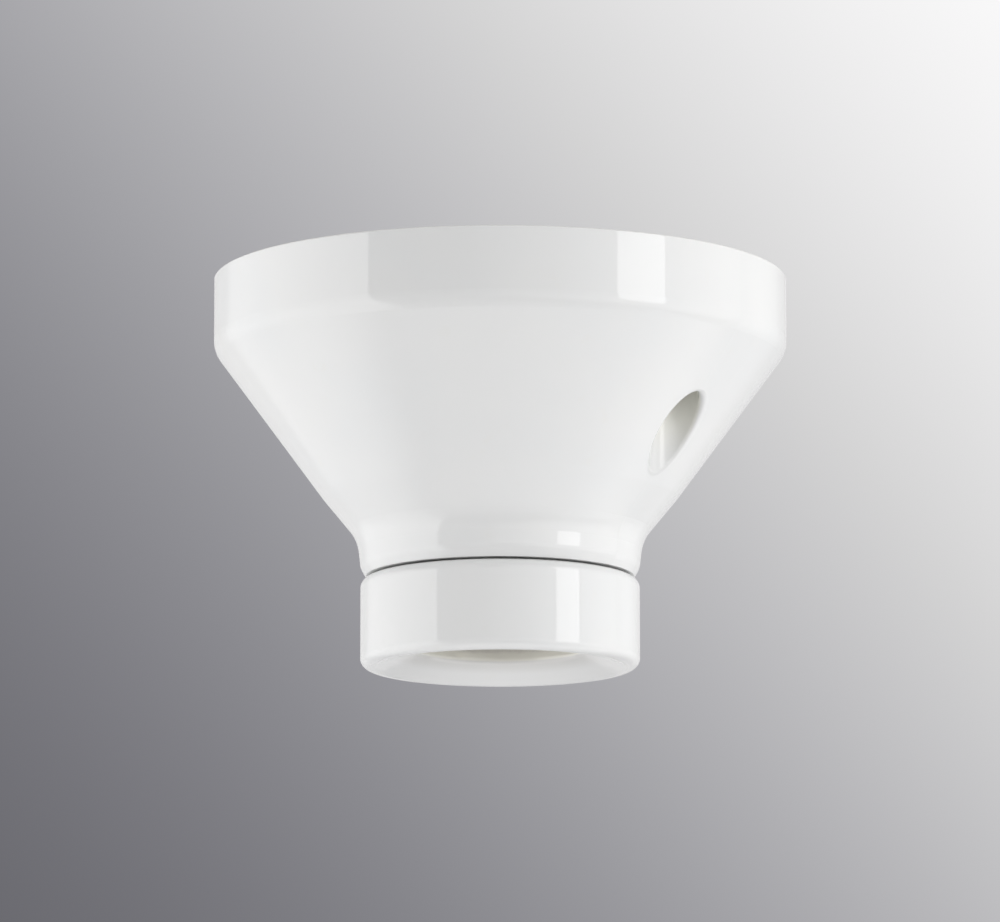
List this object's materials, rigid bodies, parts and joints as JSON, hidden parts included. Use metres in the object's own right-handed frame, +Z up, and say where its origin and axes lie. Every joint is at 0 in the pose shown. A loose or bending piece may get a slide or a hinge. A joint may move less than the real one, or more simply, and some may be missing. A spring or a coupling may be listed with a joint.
{
  "type": "batten lamp holder",
  "caption": "White porcelain ceiling lamp holder: hollow cone base with sunk fixing holes, and a screw collar round an E27 lamp socket with a sprung centre contact.",
  "frame": {"origin": "centre of the back rim, in the plane of the ceiling", "axes": "+Z up into the ceiling along the lamp axis, the holder hangs below; +X through the two fixing holes"},
  "size_m": [0.1, 0.1, 0.0684],
  "materials": {
    "base_glaze": "clear white glaze, bare where the back rim meets the ceiling",
    "ring_glaze": "clear white glaze",
    "insert_ceramic": "unglazed technical porcelain",
    "shell_metal": "nickel plated, rolled thread",
    "contact_metal": "nickel plated, turned",
    "spring_steel": "drawn wire",
    "brass": "stamped, bare",
    "clamp_metal": "zinc plated",
    "steel": "zinc plated"
  },
  "bodies": {
    "base": {"ceiling_base": "base_glaze", "socket_insert": "insert_ceramic", "screw_shell": "shell_metal", "shell_screws": "steel", "contact_spring": "spring_steel", "live_bar": "brass", "neutral_bar": "brass", "live_clamp": "clamp_metal", "neutral_clamp": "clamp_metal", "terminal_screws": "steel", "terminal_nuts": "steel"},
    "collar": {"collar_ring": "ring_glaze"},
    "contact": {"contact_plunger": "contact_metal"}
  },
  "joints": [
    {"name": "collar_unscrew", "type": "slide", "parent": "base", "child": "collar", "axis": [0, 0, -1], "range_m": [0, 0.014]},
    {"name": "contact_press", "type": "slide", "parent": "base", "child": "contact", "axis": [0, 0, 1], "range_m": [0, 0.002], "stiffness_N_per_m": 1500, "springref_m": -0.002, "deforming": ["contact_spring"]}
  ]
}
